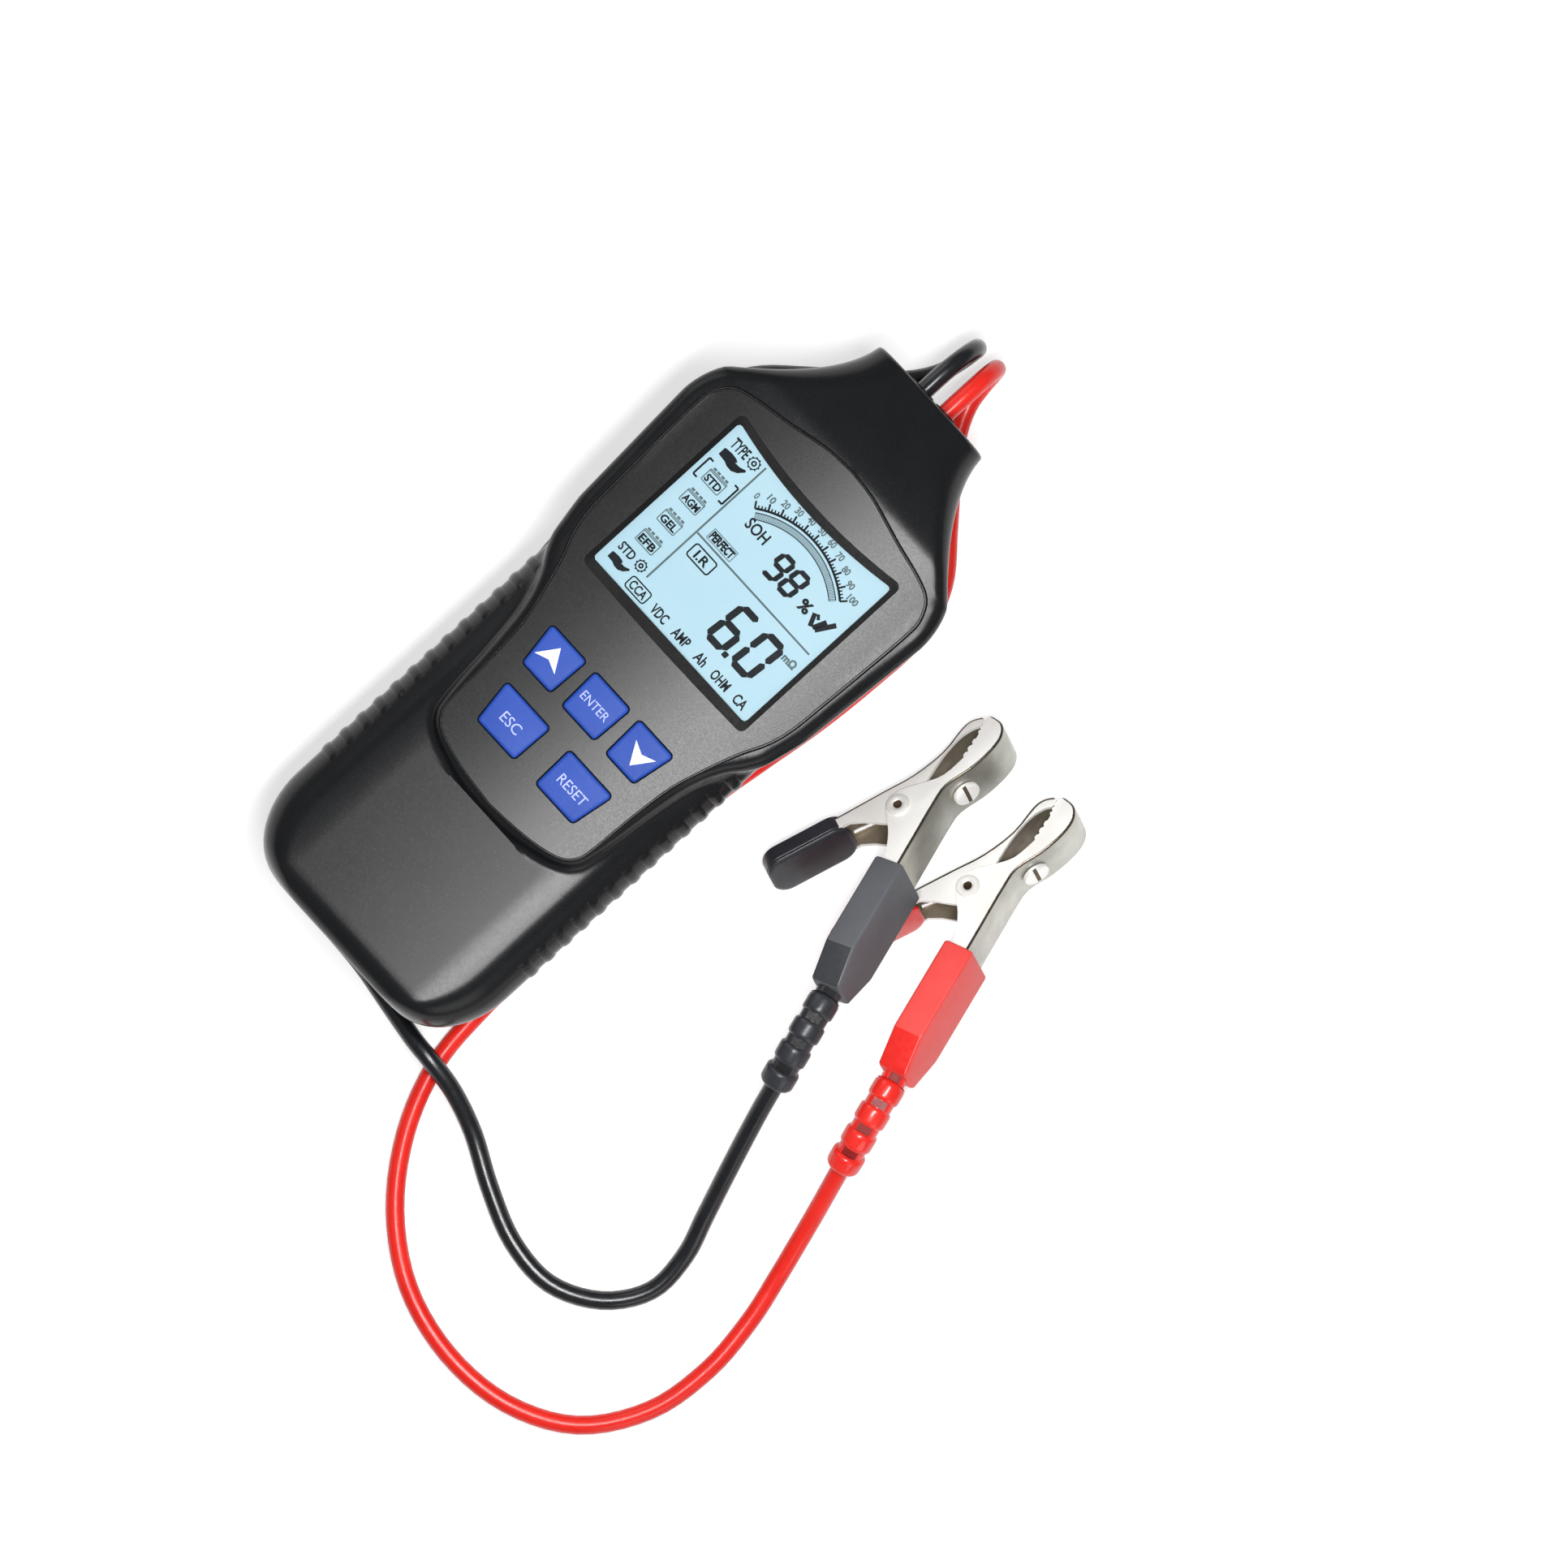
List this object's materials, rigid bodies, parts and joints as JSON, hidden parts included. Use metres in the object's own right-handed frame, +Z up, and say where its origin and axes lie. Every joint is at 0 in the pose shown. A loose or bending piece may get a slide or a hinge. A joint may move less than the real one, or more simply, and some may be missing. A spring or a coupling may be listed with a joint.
{
  "type": "battery tester",
  "caption": "Hand-held battery tester with a display, a blue keypad, and a black and a red lead that end in insulated crocodile clips.",
  "frame": {"origin": "centre of the body's footprint, on the table it lies on", "axes": "+Y along the body from the grip to the nose the leads leave, +X to the right of the face, +Z up out of the face"},
  "size_m": [0.1865, 0.2717, 0.0423],
  "materials": {
    "case": "fine moulded texture, satin",
    "panel": "fine grain, matte, dark grey",
    "window": "clear acrylic",
    "lcd": "lit light blue with dark segments",
    "board_plastic": "moulded black",
    "lightguide": "white diffuser",
    "circuit_board": "green solder mask",
    "keypad_rubber": "grey silicone sheet",
    "key_blue": "royal blue, satin, white legend",
    "screw_steel": "zinc-plated steel",
    "ceramic": "off-white ceramic case",
    "relay_blue": "dark blue case",
    "brass": "plain brass",
    "black_rubber": "glossy silicone, black",
    "red_rubber": "glossy silicone, red",
    "grey_boot": "dark grey, matte",
    "black_vinyl": "dipped vinyl, glossy black",
    "red_vinyl": "dipped vinyl, glossy red",
    "nickel": "nickel-plated sheet steel"
  },
  "bodies": {
    "tester": {"front_shell": "case", "rear_shell": "case", "face_panel": "panel", "display_window": "window", "display_glass": "lcd", "display_frame": "board_plastic", "backlight": "lightguide", "main_board": "circuit_board", "keypad_sheet": "keypad_rubber", "key_switches": "board_plastic", "case_screws": "screw_steel", "processor": "board_plastic", "load_resistors": "ceramic", "relay": "relay_blue", "capacitor": "relay_blue", "buzzer": "board_plastic", "lead_terminals": "brass", "lead_tails": "black_rubber", "lead_clamp": "board_plastic", "clamp_screws": "screw_steel", "black_grommet": "black_rubber", "red_grommet": "black_rubber", "black_lead": "black_rubber", "red_lead": "red_rubber", "black_fixed_jaw": "nickel", "black_rivet": "nickel", "black_spring": "nickel", "black_clamp_screw": "nickel", "black_lug": "brass", "black_lead_boot": "grey_boot", "black_relief": "black_vinyl", "red_fixed_jaw": "nickel", "red_rivet": "nickel", "red_spring": "nickel", "red_clamp_screw": "nickel", "red_lug": "brass", "red_lead_boot": "red_vinyl", "red_relief": "red_vinyl"},
    "key_up": {"key_up": "key_blue"},
    "key_enter": {"key_enter": "key_blue"},
    "key_down": {"key_down": "key_blue"},
    "key_esc": {"key_esc": "key_blue"},
    "key_reset": {"key_reset": "key_blue"},
    "black_jaw": {"black_moving_jaw": "nickel", "black_handle_boot": "black_vinyl"},
    "red_jaw": {"red_moving_jaw": "nickel", "red_handle_boot": "red_vinyl"}
  },
  "joints": [
    {"name": "key_up_press", "type": "slide", "parent": "tester", "child": "key_up", "axis": [0, 0, -1], "range_m": [0, 0.0008], "stiffness_N_per_m": 1500, "springref_m": -0.0005},
    {"name": "key_enter_press", "type": "slide", "parent": "tester", "child": "key_enter", "axis": [0, 0, -1], "range_m": [0, 0.0008], "stiffness_N_per_m": 1500, "springref_m": -0.0005},
    {"name": "key_down_press", "type": "slide", "parent": "tester", "child": "key_down", "axis": [0, 0, -1], "range_m": [0, 0.0008], "stiffness_N_per_m": 1500, "springref_m": -0.0005},
    {"name": "key_esc_press", "type": "slide", "parent": "tester", "child": "key_esc", "axis": [0, 0, -1], "range_m": [0, 0.0008], "stiffness_N_per_m": 1500, "springref_m": -0.0005},
    {"name": "key_reset_press", "type": "slide", "parent": "tester", "child": "key_reset", "axis": [0, 0, -1], "range_m": [0, 0.0008], "stiffness_N_per_m": 1500, "springref_m": -0.0005},
    {"name": "black_jaw_hinge", "type": "hinge", "parent": "tester", "child": "black_jaw", "pos_m": [0.0722, 0.0254, 0.01275], "axis": [-0.5606, 0.1423, 0.8157], "range_deg": [0, 30], "stiffness_Nm_per_rad": 0.4, "springref_deg": -28.65, "deforming": ["black_spring"]},
    {"name": "red_jaw_hinge", "type": "hinge", "parent": "tester", "child": "red_jaw", "pos_m": [0.0982, 0.0249, 0.01085], "axis": [-0.4605, 0.1029, 0.8817], "range_deg": [0, 30], "stiffness_Nm_per_rad": 0.4, "springref_deg": -28.65, "deforming": ["red_spring"]}
  ]
}
